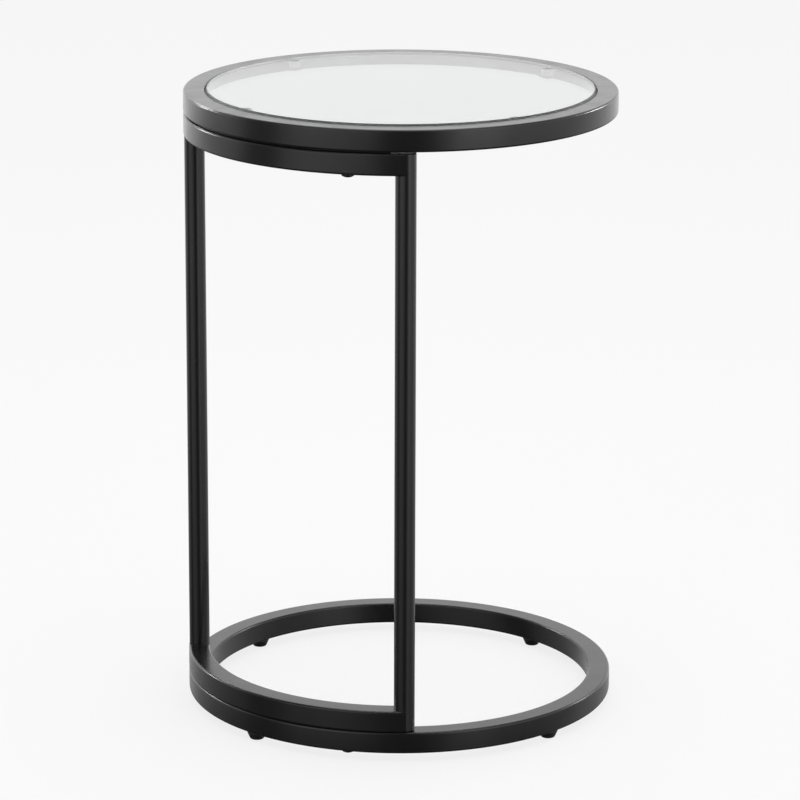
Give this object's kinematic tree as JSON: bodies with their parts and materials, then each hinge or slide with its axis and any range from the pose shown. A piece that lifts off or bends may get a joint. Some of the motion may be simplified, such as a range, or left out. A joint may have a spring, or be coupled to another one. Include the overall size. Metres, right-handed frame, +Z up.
{
  "type": "c shaped side table",
  "caption": "Round glass-topped C shaped side table: a floor ring and a top ring of black square tube joined on one side by upright tubes and curved rails.",
  "frame": {"origin": "on the floor under the centre of the two rings", "axes": "+Z up; +X towards the open side of the C, the side that goes round a sofa or a bed; the two uprights stand on the -X side, one each side of the XZ plane"},
  "size_m": [0.4, 0.4, 0.5847],
  "materials": {
    "black_coat": "semi-gloss black powder coat over rolled steel tube",
    "clear_glass": "clear float glass, polished, with a small ground arris",
    "clear_bumper": "clear soft plastic bumper",
    "black_plastic": "fine moulded black plastic",
    "black_steel": "blackened steel, satin",
    "zinc_steel": "zinc plated steel"
  },
  "bodies": {
    "frame": {"base_ring": "black_coat", "lower_arc": "black_coat", "upright_left": "black_coat", "upright_right": "black_coat", "upper_arc": "black_coat", "top_ring": "black_coat", "glass_tab_1": "black_coat", "glass_tab_2": "black_coat", "glass_tab_3": "black_coat", "glass_tab_4": "black_coat", "glass_bumper_1": "clear_bumper", "glass_bumper_2": "clear_bumper", "glass_bumper_3": "clear_bumper", "glass_bumper_4": "clear_bumper", "top_bolt_left": "black_steel", "top_bolt_washer_left": "black_steel", "top_insert_left": "zinc_steel", "base_bolt_left": "black_steel", "base_bolt_washer_left": "black_steel", "base_insert_left": "zinc_steel", "top_bolt_right": "black_steel", "top_bolt_washer_right": "black_steel", "top_insert_right": "zinc_steel", "base_bolt_right": "black_steel", "base_bolt_washer_right": "black_steel", "base_insert_right": "zinc_steel", "top_gasket": "black_plastic", "foot_open_side": "black_plastic", "foot_right": "black_plastic", "foot_spine": "black_plastic", "foot_left": "black_plastic"},
    "glass": {"glass_top": "clear_glass"}
  },
  "joints": [
    {"name": "glass_lift", "type": "slide", "parent": "frame", "child": "glass", "axis": [0, 0, 1], "range_m": [0, 0.05]}
  ]
}
